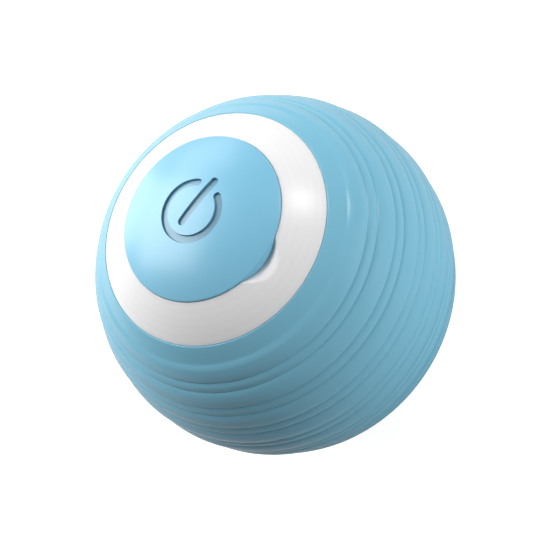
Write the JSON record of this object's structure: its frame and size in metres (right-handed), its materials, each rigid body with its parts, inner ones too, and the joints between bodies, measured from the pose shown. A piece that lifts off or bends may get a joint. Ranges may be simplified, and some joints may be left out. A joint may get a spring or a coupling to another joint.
{
  "type": "self rolling cat ball",
  "caption": "Self rolling cat ball: motor-driven weight inside a rigid ball under a ribbed silicone sleeve, with a light ring and a power disc in a lift-off cap.",
  "frame": {"origin": "centre of the ball", "axes": "+Z out through the middle of the power disc, +X towards the nail scoop and along the drive shaft, +Y towards the top of the power mark"},
  "size_m": [0.043, 0.043, 0.0429],
  "materials": {
    "blue_silicone": "satin moulded silicone",
    "blue_plastic": "satin",
    "milky_plastic": "glossy milky light guide",
    "white_plastic": "moulded",
    "grey_plastic": "moulded",
    "nylon": "natural nylon",
    "black_plastic": "moulded",
    "board_green": "solder mask",
    "lamp": "clear resin over phosphor",
    "red_wire": "wire insulation",
    "black_wire": "wire insulation",
    "foam": "foam",
    "silver_pouch": "laminated foil",
    "steel": "bright",
    "tin": "tinned",
    "zinc": "die cast",
    "brass": "turned",
    "bronze": "sintered"
  },
  "bodies": {
    "ball": {"sleeve": "blue_silicone", "upper_shell": "white_plastic", "lower_shell": "white_plastic", "light_ring": "milky_plastic", "main_board": "board_green", "board_screw_1": "steel", "board_screw_2": "steel", "board_screw_3": "steel", "led_1": "lamp", "led_2": "lamp", "led_3": "lamp", "led_4": "lamp", "tact_switch": "tin", "charging_socket": "steel", "socket_tongue": "black_plastic", "control_chip": "black_plastic", "charge_chip": "black_plastic", "shell_screw_1": "steel", "shell_screw_2": "steel", "shell_screw_3": "steel", "shell_screw_4": "steel", "motor_can": "steel", "motor_end_cap": "white_plastic", "gear_frame": "grey_plastic", "gearbox_cover": "grey_plastic", "cover_screw_1": "steel", "cover_screw_2": "steel", "cover_screw_3": "steel", "frame_screw_1": "steel", "frame_screw_2": "steel", "idler_pin": "steel", "bush_inner": "bronze", "bush_outer": "bronze", "battery": "silver_pouch", "battery_pad": "foam", "battery_lead_1": "red_wire", "battery_lead_2": "black_wire", "motor_lead_1": "red_wire", "motor_lead_2": "black_wire"},
    "cap": {"cap_carrier": "white_plastic"},
    "button": {"power_button": "blue_plastic"},
    "plunger": {"switch_plunger": "black_plastic"},
    "drive": {"drive_shaft": "steel", "output_gear": "nylon", "drive_weight": "zinc", "weight_screw": "steel"},
    "idler": {"compound_gear": "nylon"},
    "motor_rotor": {"motor_shaft": "steel", "pinion": "brass"}
  },
  "joints": [
    {"name": "cap_lift", "type": "slide", "parent": "ball", "child": "cap", "axis": [0, 0, 1], "range_m": [0, 0.009]},
    {"name": "button_press", "type": "slide", "parent": "cap", "child": "button", "axis": [0, 0, -1], "range_m": [0, 0.0006], "stiffness_N_per_m": 600, "springref_m": -0.0004},
    {"name": "plunger_press", "type": "slide", "parent": "ball", "child": "plunger", "axis": [0, 0, -1], "range_m": [0, 0.0003]},
    {"name": "weight_spin", "type": "hinge", "parent": "ball", "child": "drive", "pos_m": [0, 0, 0], "axis": [1, 0, 0], "continuous": true},
    {"name": "idler_spin", "type": "hinge", "parent": "ball", "child": "idler", "pos_m": [0, -0.00659, -0.00462], "axis": [1, 0, 0], "continuous": true},
    {"name": "motor_spin", "type": "hinge", "parent": "ball", "child": "motor_rotor", "pos_m": [0, 0, -0.0085], "axis": [1, 0, 0], "continuous": true}
  ],
  "couplings": [
    {"joint": "plunger_press", "follows": "button_press", "ratio": 0.5},
    {"joint": "idler_spin", "follows": "weight_spin", "ratio": -3},
    {"joint": "motor_spin", "follows": "weight_spin", "ratio": 11.25}
  ]
}
